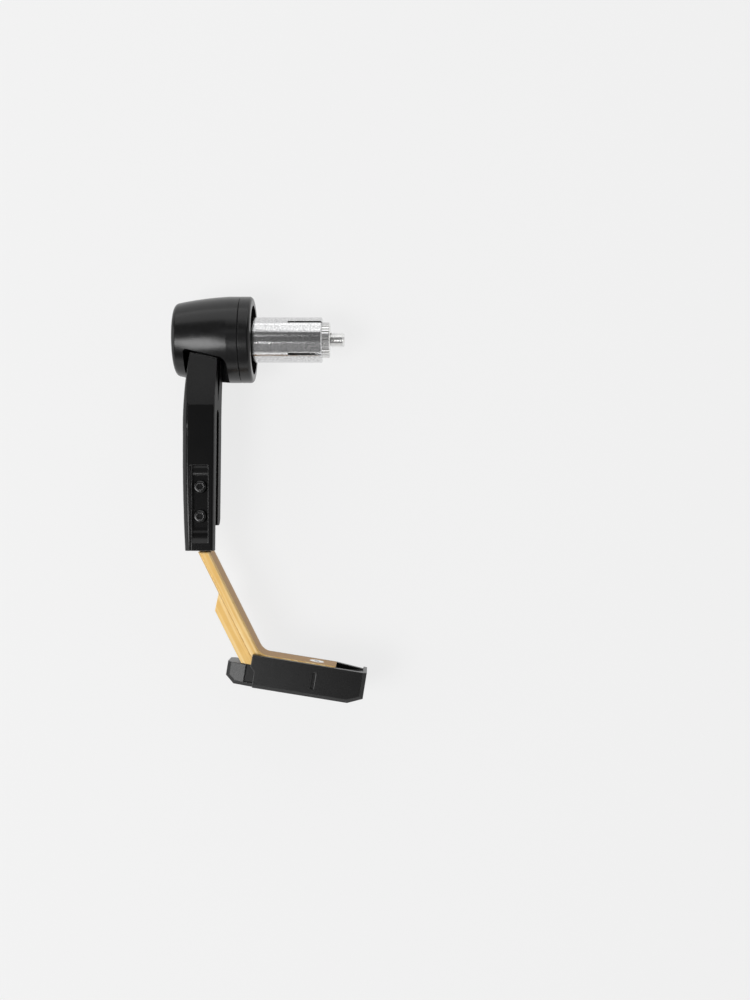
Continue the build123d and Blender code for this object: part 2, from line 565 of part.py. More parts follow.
export_step(lower_arm.part, "parts/lower_arm.step")

# End shoe: a channel that grips the lower run, with a stepped heel, a hollowed toe and bevelled lower edges
with BuildPart() as end_shoe:
    with BuildSketch(Plane.XY.offset(shoe_under_z)):
        with BuildLine():
            Polyline(on_run(SHOE_HEEL, heel_top_v), on_run(SHOE_WALL_START, heel_top_v),
                     on_run(SHOE_WALL_START, wall_top_v), on_run(SHOE_REACH, wall_top_v),
                     on_run(SHOE_REACH, shoe_foot_v + SHOE_TOE_CHAMFER),
                     on_run(SHOE_REACH - SHOE_TOE_CHAMFER_RUN, shoe_foot_v),
                     on_run(SHOE_HEEL + SHOE_HEEL_CHAMFER_RUN, shoe_foot_v),
                     on_run(SHOE_HEEL, shoe_foot_v + SHOE_HEEL_CHAMFER), close=True)
        make_face()
    extrude(amount=shoe_front_z - shoe_under_z)
    flat_faces = end_shoe.faces().filter_by(Axis.Z)
    chamfer(flat_faces.edges().filter_by(lambda e: above_run(e.center()) < heel_top_v - SHOE_CLEARANCE),
            SHOE_EDGE_CHAMFER)
    jog_top_v = heel_top_v - SHOE_WALL_JOG_DROP
    jog_foot_v = jog_top_v - SHOE_WALL_JOG
    for side_z, inward in ((shoe_under_z, 1), (shoe_front_z, -1)):
        with BuildSketch(heel_plane(side_z, inward)):
            with BuildLine():
                Polyline((0, SHOE_HEIGHT), (0, jog_top_v), (SHOE_WALL_JOG, jog_foot_v),
                         (SHOE_WALL_JOG, -2 * SHOE_HEIGHT), (2 * SHOE_HEEL, -2 * SHOE_HEIGHT),
                         (2 * SHOE_HEEL, SHOE_HEIGHT), close=True)
            make_face()
        extrude(amount=SHOE_HEIGHT, dir=(0, 0, -inward), mode=Mode.SUBTRACT)
    heel_faces = end_shoe.faces().filter_by(lambda f: down_run(f.center()) < SHOE_WALL_START)
    stepped_faces = heel_faces.filter_by(lambda f: abs(f.normal_at().Z) > cos(radians(2 * SHOE_HEEL_SLOPE)))
    heel_edges = stepped_faces.edges().filter_by(lambda e: down_run(e.center()) < fin_end_u)
    chamfer(heel_edges.filter_by(lambda e: above_run(e.center()) < heel_top_v - SHOE_CLEARANCE),
            SHOE_EDGE_CHAMFER)
    for side_z, inward in ((shoe_under_z, 1), (shoe_front_z, -1)):
        with BuildSketch(Plane.XY.offset(side_z)):
            with BuildLine():
                groove_foot_v = shoe_foot_v + SHOE_EDGE_CHAMFER
                groove_left_u = SHOE_WALL_START - SHOE_GROOVE_WIDTH
                jog_u = SHOE_WALL_START + SHOE_WALL_JOG
                Polyline(on_run(SHOE_WALL_START, SHOE_HEIGHT), on_run(SHOE_WALL_START, jog_top_v),
                         on_run(jog_u, jog_foot_v), on_run(jog_u, groove_foot_v),
                         on_run(groove_left_u, groove_foot_v), on_run(groove_left_u, SHOE_HEIGHT), close=True)
            make_face()
        extrude(amount=inward * (SHOE_HEEL_STEP + SHOE_GROOVE_DEPTH), mode=Mode.SUBTRACT)
        with BuildSketch(Plane.XY.offset(side_z)):
            slot_x, slot_y = on_run(SHOE_SCREW_ALONG, wall_top_v - NUT_SLOT_DROP - NUT_SLOT_LENGTH / 2)
            with Locations(Location((slot_x, slot_y, 0), (0, 0, -LOWER_SLOPE))):
                SlotOverall(NUT_SLOT_LENGTH, NUT_SLOT_WIDTH, rotation=90)
        extrude(amount=inward * NUT_SLOT_DEPTH, mode=Mode.SUBTRACT)
    with BuildSketch(Plane.XY.offset(ARM_UNDER_Z - SHOE_CLEARANCE)):
        with BuildLine():
            toe_u = SHOE_REACH - TOE_RECESS_WALL
            Polyline(on_run(LOWER_RUN_LENGTH, SHOE_HEIGHT),
                     on_run(LOWER_RUN_LENGTH, wall_top_v - TOE_RECESS_DEPTH),
                     on_run(toe_u, wall_top_v - TOE_RECESS_DEPTH + TOE_RECESS_RISE),
                     on_run(toe_u, SHOE_HEIGHT), close=True)
        make_face()
    extrude(amount=ARM_DEPTH + 2 * SHOE_CLEARANCE, mode=Mode.SUBTRACT)
    with BuildSketch(Plane.XY.offset(shoe_under_z)):
        with BuildLine():
            Polyline(on_run(LOWER_RUN_LENGTH, wall_top_v), on_run(SHOE_REACH, wall_top_v - TOE_REAR_DROP),
                     on_run(SHOE_REACH, wall_top_v), close=True)
        make_face()
    extrude(amount=SHOE_WALL, mode=Mode.SUBTRACT)
    with BuildSketch(Plane.XY.offset(ARM_UNDER_Z - SHOE_CLEARANCE)):
        channel = bar_corners(SHOE_CLEARANCE)
        with BuildLine():
            Polyline(*channel, close=True)
        make_face()
        fillet(vertices().sort_by_distance(channel[2])[0], ELBOW_RADIUS - SHOE_CLEARANCE)
        fillet(vertices().sort_by_distance(channel[5])[0], ELBOW_RADIUS + BAR_THICKNESS + SHOE_CLEARANCE)
    extrude(amount=ARM_DEPTH + 2 * SHOE_CLEARANCE, mode=Mode.SUBTRACT)
    with Locations(screw_plane(-BAR_THICKNESS - SHOE_CLEARANCE)):
        Hole(INSERT_RADIUS + INSERT_CLEARANCE, depth=INSERT_LENGTH)
end_shoe.part.label = "end_shoe"
export_step(end_shoe.part, "parts/end_shoe.step")

# Threaded insert in the shoe
insert_top_v = -BAR_THICKNESS - SHOE_CLEARANCE
with BuildPart() as shoe_insert:
    with BuildSketch(screw_plane(insert_top_v)):
        Circle(INSERT_RADIUS)
        Circle(SHOE_SCREW_RADIUS + THREAD_CLEARANCE, mode=Mode.SUBTRACT)
    extrude(amount=-INSERT_LENGTH)
shoe_insert.part.label = "shoe_insert"
export_step(shoe_insert.part, "parts/shoe_insert.step")

# Shoe screw: low socket head sunk in the bar, shank into the insert
with BuildPart() as shoe_screw:
    with BuildSketch(screw_plane(-SHOE_HEAD_HEIGHT)):
        Circle(SHOE_HEAD_RADIUS)
    extrude(amount=SHOE_HEAD_HEIGHT)
    with BuildSketch(screw_plane(-SHOE_HEAD_HEIGHT)):
        Circle(SHOE_SCREW_RADIUS)
    extrude(amount=insert_top_v - INSERT_LENGTH + SHOE_HEAD_HEIGHT)
    with BuildSketch(screw_plane(0)):
        RegularPolygon(SHOE_SOCKET_WIDTH / 2, 6, major_radius=False)
    extrude(amount=-SHOE_SOCKET_DEPTH, mode=Mode.SUBTRACT)
shoe_screw.part.label = "shoe_screw"
export_step(shoe_screw.part, "parts/shoe_screw.step")
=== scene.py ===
"""Looks of a brake lever guard: finishes, thread, studio and camera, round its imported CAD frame."""
import logging
from collections.abc import Callable, Sequence
from dataclasses import dataclass
from enum import Enum
from functools import cache
from math import cos, pi, radians, sin, tau

import bmesh
import bpy
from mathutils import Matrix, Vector


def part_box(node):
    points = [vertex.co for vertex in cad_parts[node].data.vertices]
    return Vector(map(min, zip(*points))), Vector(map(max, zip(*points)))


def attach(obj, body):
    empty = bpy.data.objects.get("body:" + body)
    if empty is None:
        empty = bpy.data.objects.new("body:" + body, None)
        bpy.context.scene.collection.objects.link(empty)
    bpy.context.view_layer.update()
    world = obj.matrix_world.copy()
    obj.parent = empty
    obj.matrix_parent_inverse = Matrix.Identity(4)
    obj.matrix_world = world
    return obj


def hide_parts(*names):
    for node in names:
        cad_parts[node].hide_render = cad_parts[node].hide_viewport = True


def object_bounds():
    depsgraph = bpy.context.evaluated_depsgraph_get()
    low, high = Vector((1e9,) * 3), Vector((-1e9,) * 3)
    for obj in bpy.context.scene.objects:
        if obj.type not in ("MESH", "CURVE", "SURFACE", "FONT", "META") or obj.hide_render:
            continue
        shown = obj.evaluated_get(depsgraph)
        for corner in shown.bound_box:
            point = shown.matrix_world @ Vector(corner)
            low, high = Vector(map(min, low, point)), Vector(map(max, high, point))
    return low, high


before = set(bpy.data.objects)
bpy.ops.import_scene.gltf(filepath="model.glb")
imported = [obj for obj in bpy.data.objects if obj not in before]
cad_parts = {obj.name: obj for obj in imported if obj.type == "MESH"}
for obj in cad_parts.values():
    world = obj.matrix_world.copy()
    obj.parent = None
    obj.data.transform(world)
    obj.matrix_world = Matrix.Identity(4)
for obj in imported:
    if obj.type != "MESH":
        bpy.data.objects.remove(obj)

MM = 0.001
CAD_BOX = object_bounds()
BAR_SLANT = radians(26.5)

log = logging.getLogger("lever_guard")


class Body(Enum):
    """The rigid bodies of the guard."""

    PLUG = "plug"
    GUARD = "guard"
    BLADE = "blade"
    BOLT = "bolt"
    NUT = "nut"


class Slot(Enum):
    """The record's material slots."""

    BLACK_ANODISED = "black_anodised"
    GOLD_ANODISED = "gold_anodised"
    BRIGHT_ALUMINIUM = "bright_aluminium"
    BRIGHT_STEEL = "bright_steel"
    BLACK_STEEL = "black_steel"
    BLACK_NYLON = "black_nylon"
    INSERT_BRASS = "insert_brass"


Colour = tuple[float, float, float]
Ring = Callable[[float], tuple[float, float]]


def opaque(colour: Colour) -> tuple[float, float, float, float]:
    """Return the colour with full alpha."""
    return (*colour, 1.0)


class ShaderTree:
    """A thin hand for laying out shader nodes and joining them.

    Attributes:
        mix_inputs: places of the two colours among a mix node's inputs.
        mix_output: place of the mixed colour among its outputs.
    """

    mix_inputs = (6, 7)
    mix_output = 2

    def __init__(self, tree: bpy.types.NodeTree) -> None:
        """Hold the tree that nodes are added to.

        Args:
            tree: the node tree of a material, world or node group.
        """
        self.tree = tree

    def add(self, kind: str, **settings: object) -> bpy.types.Node:
        """Add a node and set its own properties.

        Args:
            kind: the node's type name.
            settings: properties of the node, by name.

        Returns:
            The new node.
        """
        node = self.tree.nodes.new(kind)
        for name, value in settings.items():
            setattr(node, name, value)
        return node

    def join(self, source: bpy.types.NodeSocket, target: bpy.types.NodeSocket) -> None:
        """Link one socket to another."""
        self.tree.links.new(source, target)

    def math(self, operation: str, first: object, second: object = None,
             clamp: bool = False) -> bpy.types.NodeSocket:
        """Add a math node.

        Args:
            operation: the node's operation.
            first: a socket or a number.
            second: a socket or a number, or None where the operation takes one value.
            clamp: keep the result between 0 and 1.

        Returns:
            The result's socket.
        """
        node = self.add("ShaderNodeMath", operation=operation, use_clamp=clamp)
        for socket, value in zip(node.inputs, (first, second)):
            self.feed(socket, value)
        return node.outputs[0]

    def feed(self, socket: bpy.types.NodeSocket, value: object) -> None:
        """Join a socket to a socket, or set it to a plain value.

        Args:
            socket: the input to feed.
            value: an output to join, a plain value, or None to leave the input alone.
        """
        if isinstance(value, bpy.types.NodeSocket):
            self.join(value, socket)
        elif value is not None:
            socket.default_value = value

    def settle(self, node: bpy.types.Node, values: dict[str, object]) -> None:
        """Feed a node's inputs.

        Args:
            node: the node.
            values: a socket or a plain value for each input, by name.
        """
        for name, value in values.items():
            self.feed(node.inputs[name], value)

    def remap(self, value: bpy.types.NodeSocket, low: object, high: object, to_low: float = 0.0,
              to_high: float = 1.0) -> bpy.types.NodeSocket:
        """Map a value from one range to another, held inside it.

        Args:
            value: the socket to map.
            low: start of the range it comes from, as a number or a socket.
            high: end of the range it comes from, as a number or a socket.
            to_low: what the start becomes.
            to_high: what the end becomes.

        Returns:
            The result's socket.
        """
        node = self.add("ShaderNodeMapRange")
        self.settle(node, {"Value": value, "From Min": low, "From Max": high,
                           "To Min": to_low, "To Max": to_high})
        return node.outputs["Result"]

    def mix(self, mask: bpy.types.NodeSocket, first: object, second: object) -> bpy.types.NodeSocket:
        """Mix two colours by a mask.

        Args:
            mask: 0 gives the first colour and 1 the second.
            first: a colour or a socket.
            second: a colour or a socket.

        Returns:
            The mixed colour's socket.
        """
        node = self.add("ShaderNodeMix", data_type="RGBA")
        self.join(mask, node.inputs["Factor"])
        for place, value in zip(self.mix_inputs, (first, second)):
            self.feed(node.inputs[place], opaque(value) if isinstance(value, tuple) else value)
        return node.outputs[self.mix_output]

    def own_space(self, kind: str = "Object") -> bpy.types.NodeSocket:
        """Return the piece's own space, or another output of its coordinates."""
        return self.add("ShaderNodeTexCoord").outputs[kind]

    def noise(self, scale: object, detail: float,
              space: bpy.types.NodeSocket | None = None) -> bpy.types.NodeSocket:
        """Add a noise.

        Args:
            scale: lumps in a metre, as a number or a socket.
            detail: how many finer layers it has.
            space: the space that it lies in, or None for the piece's own.

        Returns:
            The noise value's socket.
        """
        node = self.add("ShaderNodeTexNoise")
        space = self.own_space() if space is None else space
        self.settle(node, {"Scale": scale, "Detail": detail, "Vector": space})
        return node.outputs["Fac"]

    def relief(self, height: bpy.types.NodeSocket, depth: float,
               normal: bpy.types.NodeSocket) -> bpy.types.NodeSocket:
        """Add a bump.

        Args:
            height: the shape of the bump.
            depth: how high it stands, in metres.
            normal: the normal that it stands on.

        Returns:
            The bumped normal's socket.
        """
        node = self.add("ShaderNodeBump")
        self.settle(node, {"Height": height, "Distance": depth, "Normal": normal})
        return node.outputs["Normal"]


class EffectGroup:
    """A shader node group for finishes, made once.

    Attributes:
        title: the group's name.
        inputs: its inputs and their usual values.
        outputs: its outputs and their socket types.
    """

    title: str = ""
    inputs: dict[str, float] = {}
    outputs: dict[str, str] = {}

    def tree(self) -> bpy.types.NodeTree:
        """Find the group's node tree, or build it the first time.

        Returns:
            The node tree.
        """
        known = bpy.data.node_groups.get(self.title)
        if known:
            return known
        group = bpy.data.node_groups.new(self.title, "ShaderNodeTree")
        for name, value in self.inputs.items():
            socket = group.interface.new_socket(name, in_out="INPUT", socket_type="NodeSocketFloat")
            socket.default_value = value
        for name, kind in self.outputs.items():
            group.interface.new_socket(name, in_out="OUTPUT", socket_type=kind)
        shader = ShaderTree(group)
        start = shader.add("NodeGroupInput")
        end = shader.add("NodeGroupOutput")
        self.fill(shader, start, end)
        return group

    def fill(self, shader: ShaderTree, start: bpy.types.Node, end: bpy.types.Node) -> None:
        """Lay out the group's nodes between its input and output nodes.

        Args:
            shader: the group's tree.
            start: the group's input node.
            end: the group's output node.
        """
        raise NotImplementedError

    def place(self, shader: ShaderTree, **values: float) -> bpy.types.Node:
        """Place the group in a material.

        Args:
            shader: the material's tree.
            values: the inputs' values, with underscores for spaces.

        Returns:
            The group node.
        """
        node = shader.add("ShaderNodeGroup", node_tree=self.tree())
        for name, value in values.items():
            node.inputs[name.replace("_", " ")].default_value = value
        return node


class SurfaceGrain(EffectGroup):
    """Fine grain and slow mottling of a blasted or moulded surface.

    Attributes:
        spread: the range of the noises that is drawn out from 0 to 1.
    """

    spread = (0.3, 0.7)
    title = "surface_grain"
    inputs = {"Grain Scale": 4000.0, "Mottle Scale": 160.0}
    outputs = {"Grain": "NodeSocketFloat", "Mottle": "NodeSocketFloat"}

    def fill(self, shader: ShaderTree, start: bpy.types.Node, end: bpy.types.Node) -> None:
        """Join a fine noise to Grain and a slow one to Mottle.

        Args:
            shader: the group's tree.
            start: the group's input node.
            end: the group's output node.
        """
        grain = shader.noise(start.outputs["Grain Scale"], detail=3.0)
        mottle = shader.noise(start.outputs["Mottle Scale"], detail=4.0)
        for name, noise in (("Grain", grain), ("Mottle", mottle)):
            shader.join(shader.remap(noise, *self.spread), end.inputs[name])


class EdgeWearAndGlint(EffectGroup):
    """Worn edges with a painted highlight: a mask along them, and the normal of a softened edge.

    Attributes:
        samples: rays that the softened normal is made from.
        likeness: how alike the two normals are where the edge colour starts, and where it is full.
        spread: the range of the noise that breaks the edge colour up.
        least: what the noise leaves of the edge colour at least.
    """

    samples = 6
    likeness = (0.995, 0.82)
    spread = (0.35, 0.65)
    least = 0.35
    title = "edge_wear_and_glint"
    inputs = {"Radius": 0.3 * MM, "Break Scale": 900.0, "Amount": 0.5}
    outputs = {"Mask": "NodeSocketFloat", "Soft Normal": "NodeSocketVector"}

    def fill(self, shader: ShaderTree, start: bpy.types.Node, end: bpy.types.Node) -> None:
        """Compare the softened normal with the true one, and break the edge up with noise.

        Args:
            shader: the group's tree.
            start: the group's input node.
            end: the group's output node.
        """
        soft = shader.add("ShaderNodeBevel", samples=self.samples)
        shader.join(start.outputs["Radius"], soft.inputs["Radius"])
        true = shader.add("ShaderNodeNewGeometry")
        likeness = shader.add("ShaderNodeVectorMath", operation="DOT_PRODUCT")
        shader.join(soft.outputs["Normal"], likeness.inputs[0])
        shader.join(true.outputs["Normal"], likeness.inputs[1])
        edge = shader.remap(likeness.outputs["Value"], *self.likeness)
        noise = shader.noise(start.outputs["Break Scale"], detail=3.0)
        broken_edge_mask = shader.math("MULTIPLY", edge, shader.remap(noise, *self.spread, to_low=self.least))
        mask = shader.math("MULTIPLY", broken_edge_mask, start.outputs["Amount"], clamp=True)
        shader.join(mask, end.inputs["Mask"])
        shader.join(soft.outputs["Normal"], end.inputs["Soft Normal"])


class FlankShade(EffectGroup):
    """A mask of the faces square to the front, such as a flat bar's edges, for painted shade and
    roughness.
    """

    title = "flank_shade"
    inputs = {"Front": 0.75, "Flank": 0.25}
    outputs = {"Mask": "NodeSocketFloat"}

    def fill(self, shader: ShaderTree, start: bpy.types.Node, end: bpy.types.Node) -> None:
        """Measure how far the piece's own surface direction is turned away from its front.

        Args:
            shader: the group's tree.
            start: the group's input node.
            end: the group's output node.
        """
        split = shader.add("ShaderNodeSeparateXYZ")
        shader.join(shader.own_space("Normal"), split.inputs["Vector"])
        front = shader.math("ABSOLUTE", split.outputs["Z"])
        mask = shader.remap(front, start.outputs["Front"], start.outputs["Flank"])
        shader.join(mask, end.inputs["Mask"])


class TurningMarks(EffectGroup):
    """Fine rings that a lathe leaves round the X axis.

    Attributes:
        spread: the range of the noise that the streaks are drawn out from.
    """

    spread = (0.35, 0.65)
    title = "turning_marks"
    inputs = {"Lines": 2500.0, "Streak Scale": 500.0}
    outputs = {"Height": "NodeSocketFloat", "Streak": "NodeSocketFloat"}

    def fill(self, shader: ShaderTree, start: bpy.types.Node, end: bpy.types.Node) -> None:
        """Make rings from the place along X alone, and slow streaks from a noise.

        Args:
            shader: the group's tree.
            start: the group's input node.
            end: the group's output node.
        """
        split = shader.add("ShaderNodeSeparateXYZ")
        shader.join(shader.own_space(), split.inputs["Vector"])
        along = shader.math("MULTIPLY", split.outputs["X"], start.outputs["Lines"])
        rings = shader.add("ShaderNodeTexNoise", noise_dimensions="1D")
        shader.settle(rings, {"W": along, "Scale": 1.0, "Detail": 3.0})
        shader.join(rings.outputs["Fac"], end.inputs["Height"])
        streak = shader.noise(start.outputs["Streak Scale"], detail=5.0)
        shader.join(shader.remap(streak, *self.spread), end.inputs["Streak"])


class DrawnStreaks(EffectGroup):
    """Fine streaks that drawing leaves along a bar.

    Attributes:
        spread: the range of the noise that the streaks are drawn out from.
    """

    spread = (0.4, 0.75)
    title = "drawn_streaks"
    inputs = {"Lean": 0.0, "Across": 900.0, "Along": 30.0}
    outputs = {"Streak": "NodeSocketFloat"}

    def fill(self, shader: ShaderTree, start: bpy.types.Node, end: bpy.types.Node) -> None:
        """Turn the piece's own space to lie along the bar, and draw a noise out along it.

        Args:
            shader: the group's tree.
            start: the group's input node.
            end: the group's output node.
        """
        turn = shader.add("ShaderNodeVectorRotate", rotation_type="Z_AXIS")
        shader.settle(turn, {"Vector": shader.own_space(), "Angle": start.outputs["Lean"]})
        scale = shader.add("ShaderNodeCombineXYZ")
        across, along = start.outputs["Across"], start.outputs["Along"]
        shader.settle(scale, {"X": across, "Y": along, "Z": along})
        drawn = shader.add("ShaderNodeVectorMath", operation="MULTIPLY")
        for source, target in zip((turn, scale), drawn.inputs):
            shader.join(source.outputs["Vector"], target)
        streak = shader.noise(1.0, detail=2.0, space=drawn.outputs["Vector"])
        shader.join(shader.remap(streak, *self.spread), end.inputs["Streak"])


GRAIN = SurfaceGrain()
STREAKS = DrawnStreaks()
WEAR_AND_GLINT = EdgeWearAndGlint()
FLANK = FlankShade()
TURNING = TurningMarks()


def new_material(name: str) -> tuple[bpy.types.Material, ShaderTree, bpy.types.Node]:
    """Make an empty node material with a Principled shader joined to its output.

    Args:
        name: the material's name.

    Returns:
        The material, its tree and the shader node.
    """
    material = bpy.data.materials.new(name)
    material.use_nodes = True
    shader = ShaderTree(material.node_tree)
    principled = next(n for n in material.node_tree.nodes if n.type == "BSDF_PRINCIPLED")
    return material, shader, principled


@dataclass(frozen=True)
class BlastedFinish:
    """A blasted and dyed surface: anodised, blackened or plated metal, or moulded plastic.

    Attributes:
        slot: the record's slot that it belongs to.
        colour: the main colour.
        mottle_colour: the colour that the slow mottling goes towards.
        wear_and_glint_colour: the colour along edges: partly wear, partly a painted highlight.
        metallic: 0 for a dyed or plastic surface, 1 for bare metal.
        roughness: lowest and highest roughness over the grain.
        specular: the shader's specular level.
        grain_scale: grains in a metre.
        grain_height: height of the grain's bump, in metres.
        wear_and_glint: how much of the edges takes that colour.
        edge_radius: how far the shaded edges are softened, in metres.
        painted_flank_shade: painted shade: the colour of faces square to the front, where it differs.
        flank_roughness: the roughness of those faces, where it differs.
        tint: the colour that the shader's own reflection takes on.
        mottle_scale: lumps of the mottling in a metre.
        streak_colour: the colour of drawn streaks, where there are any.
        streak_lean: how far the streaks lean from the Y axis, in radians.
    """

    slot: Slot
    colour: Colour
    mottle_colour: Colour
    wear_and_glint_colour: Colour
    metallic: float
    roughness: tuple[float, float]
    specular: float = 0.5
    grain_scale: float = 4000.0
    grain_height: float = 0.004 * MM
    wear_and_glint: float = 0.5
    edge_radius: float = 0.25 * MM
    painted_flank_shade: Colour | None = None
    flank_roughness: float | None = None
    tint: Colour = (1.0, 1.0, 1.0)
    mottle_scale: float = 160.0
    streak_colour: Colour | None = None
    streak_lean: float = 0.0

    @cache
    def material(self) -> bpy.types.Material:
        """Build the finish's material the first time, and share it from then on.

        Returns:
            The material.
        """
        material, shader, principled = new_material(f"{self.slot.value}_blasted")
        grain = GRAIN.place(shader, Grain_Scale=self.grain_scale, Mottle_Scale=self.mottle_scale)
        wear_and_glint = WEAR_AND_GLINT.place(shader, Radius=self.edge_radius, Amount=self.wear_and_glint)
        ground = shader.mix(grain.outputs["Mottle"], self.colour, self.mottle_colour)
        rough = shader.remap(grain.outputs["Grain"], 0.0, 1.0, *self.roughness)
        if self.streak_colour:
            streaks = STREAKS.place(shader, Lean=self.streak_lean)
            ground = shader.mix(streaks.outputs["Streak"], ground, self.streak_colour)
        # Painted shade: faces square to the front take a darker colour, and may also be rougher.
        if self.painted_flank_shade:
            flank = FLANK.place(shader)
            ground = shader.mix(flank.outputs["Mask"], ground, self.painted_flank_shade)
            if self.flank_roughness:
                least = shader.remap(flank.outputs["Mask"], 0.0, 1.0, to_high=self.flank_roughness)
                rough = shader.math("MAXIMUM", rough, least)
        normal = shader.relief(grain.outputs["Grain"], self.grain_height, wear_and_glint.outputs["Soft Normal"])
        # Edges take the lighter edge colour: partly wear, partly a painted highlight.
        shader.settle(principled, {
            "Base Color": shader.mix(wear_and_glint.outputs["Mask"], ground, self.wear_and_glint_colour),
            "Roughness": rough, "Normal": normal, "Metallic": self.metallic,
            "Specular IOR Level": self.specular, "Specular Tint": opaque(self.tint)})
        return material


@dataclass(frozen=True)
class TurnedFinish:
    """A surface turned on a lathe about the X axis.

    Attributes:
        slot: the record's slot that it belongs to.
        suffix: what sets it apart from other finishes in the slot.
        colour: the main colour.
        streak_colour: the colour that the streaks go towards.
        wear_and_glint_colour: the colour along edges: partly wear, partly a painted highlight.
        metallic: 0 for a dyed surface, 1 for bare metal.
        roughness: lowest and highest roughness over the streaks.
        specular: the shader's specular level.
        anisotropy: how far the rings draw highlights out along the axis.
        ring_height: height of the rings' bump, in metres.
        lines: rings in a metre.
        wear_and_glint: how much of the edges takes that colour.
        edge_radius: how far the shaded edges are softened, in metres.
    """

    slot: Slot
    suffix: str
    colour: Colour
    streak_colour: Colour
    wear_and_glint_colour: Colour
    metallic: float
    roughness: tuple[float, float]
    specular: float = 0.5
    anisotropy: float = 0.0
    ring_height: float = 0.004 * MM
    lines: float = 2500.0
    wear_and_glint: float = 0.4
    edge_radius: float = 0.2 * MM

    @cache
    def material(self) -> bpy.types.Material:
        """Build the finish's material the first time, and share it from then on.

        Returns:
            The material.
        """
        material, shader, principled = new_material(f"{self.slot.value}_{self.suffix}")
        marks = TURNING.place(shader, Lines=self.lines)
        wear_and_glint = WEAR_AND_GLINT.place(shader, Radius=self.edge_radius, Amount=self.wear_and_glint)
        ground = shader.mix(marks.outputs["Streak"], self.colour, self.streak_colour)
        normal = shader.relief(marks.outputs["Height"], self.ring_height, wear_and_glint.outputs["Soft Normal"])
        # Edges take the lighter edge colour: partly wear, partly a painted highlight.
        shader.settle(principled, {
            "Base Color": shader.mix(wear_and_glint.outputs["Mask"], ground, self.wear_and_glint_colour),
            "Roughness": shader.remap(marks.outputs["Streak"], 0.0, 1.0, *self.roughness),
            "Normal": normal, "Metallic": self.metallic, "Specular IOR Level": self.specular,
            "Anisotropic": self.anisotropy})
        if self.anisotropy:
            tangent = shader.add("ShaderNodeTangent", direction_type="RADIAL", axis="X")
            shader.join(tangent.outputs["Tangent"], principled.inputs["Tangent"])
        return material


BAR_END_BLACK = TurnedFinish(
    slot=Slot.BLACK_ANODISED, suffix="turned", colour=(0.004, 0.004, 0.0043),
    streak_colour=(0.006, 0.006, 0.0064), wear_and_glint_colour=(0.08, 0.08, 0.082), metallic=0.0,
    roughness=(0.22, 0.25), specular=0.45, anisotropy=0.3, ring_height=0.0004 * MM, wear_and_glint=0.3)
# Painted highlight, partly wear: the light grey along the rim and pocket edges; the flank colour is the
# main one.
ARM_BLACK = BlastedFinish(
    slot=Slot.BLACK_ANODISED, colour=(0.0022, 0.0022, 0.0024), mottle_colour=(0.0035, 0.0035, 0.0037),
    wear_and_glint_colour=(0.32, 0.32, 0.32), metallic=0.0, roughness=(0.14, 0.19), specular=0.36,
    grain_height=0.0008 * MM, wear_and_glint=0.75, edge_radius=0.3 * MM,
    painted_flank_shade=(0.0022, 0.0022, 0.0024), flank_roughness=0.55)
# Painted shade: the dark brown sides; painted highlight, partly wear: the light gold edges.
GOLD = BlastedFinish(
    slot=Slot.GOLD_ANODISED, colour=(0.80, 0.515, 0.175), mottle_colour=(0.755, 0.47, 0.152),
    wear_and_glint_colour=(1.0, 0.86, 0.58), metallic=0.40, roughness=(0.40, 0.50), wear_and_glint=0.9,
    edge_radius=0.45 * MM, painted_flank_shade=(0.41, 0.24, 0.11), tint=(1.0, 0.80, 0.50),
    streak_colour=(0.91, 0.70, 0.37), streak_lean=-BAR_SLANT)
SLEEVE_BRIGHT = BlastedFinish(
    slot=Slot.BRIGHT_ALUMINIUM, colour=(0.86, 0.86, 0.86), mottle_colour=(0.52, 0.52, 0.53),
    wear_and_glint_colour=(0.95, 0.95, 0.95), metallic=1.0, roughness=(0.08, 0.13), grain_scale=2200.0,
    grain_height=0.014 * MM, wear_and_glint=0.3, mottle_scale=1900.0)
STEEL_BRIGHT = TurnedFinish(
    slot=Slot.BRIGHT_STEEL, suffix="plated", colour=(0.90, 0.90, 0.89), streak_colour=(0.80, 0.80, 0.80),
    wear_and_glint_colour=(0.92, 0.92, 0.92), metallic=1.0, roughness=(0.10, 0.18), ring_height=0.0005 * MM)
# Painted highlight: the light grey edge colour stands for glints on the head rims, broken into arcs by
# the noise.
SCREW_BLACK = BlastedFinish(
    slot=Slot.BLACK_STEEL, colour=(0.004, 0.004, 0.0043), mottle_colour=(0.007, 0.007, 0.0074),
    wear_and_glint_colour=(0.46, 0.46, 0.46), metallic=0.3, roughness=(0.12, 0.18), specular=0.8, wear_and_glint=1.0,
    edge_radius=0.35 * MM)
# Painted highlight, partly wear: the grey edge colour stands for glints along the shoe's edges.
NYLON = BlastedFinish(
    slot=Slot.BLACK_NYLON, colour=(0.003, 0.003, 0.0032), mottle_colour=(0.005, 0.005, 0.0052),
    wear_and_glint_colour=(0.24, 0.24, 0.24), metallic=0.0, roughness=(0.26, 0.34), specular=0.38,
    grain_scale=2600.0, grain_height=0.003 * MM, wear_and_glint=0.8, edge_radius=0.35 * MM)
BRASS = BlastedFinish(
    slot=Slot.INSERT_BRASS, colour=(0.72, 0.50, 0.20), mottle_colour=(0.62, 0.42, 0.16),
    wear_and_glint_colour=(0.85, 0.68, 0.35), metallic=1.0, roughness=(0.30, 0.42))


def dress(node: str, material: bpy.types.Material) -> None:
    """Give a CAD node a material in every slot it has.

    Args:
        node: the node's name.
        material: the material to assign.
    """
    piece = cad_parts[node]
    if not piece.material_slots:
        piece.data.materials.append(material)
    for slot in piece.material_slots:
        slot.material = material
    log.info("dressed %s in %s", node, material.name)


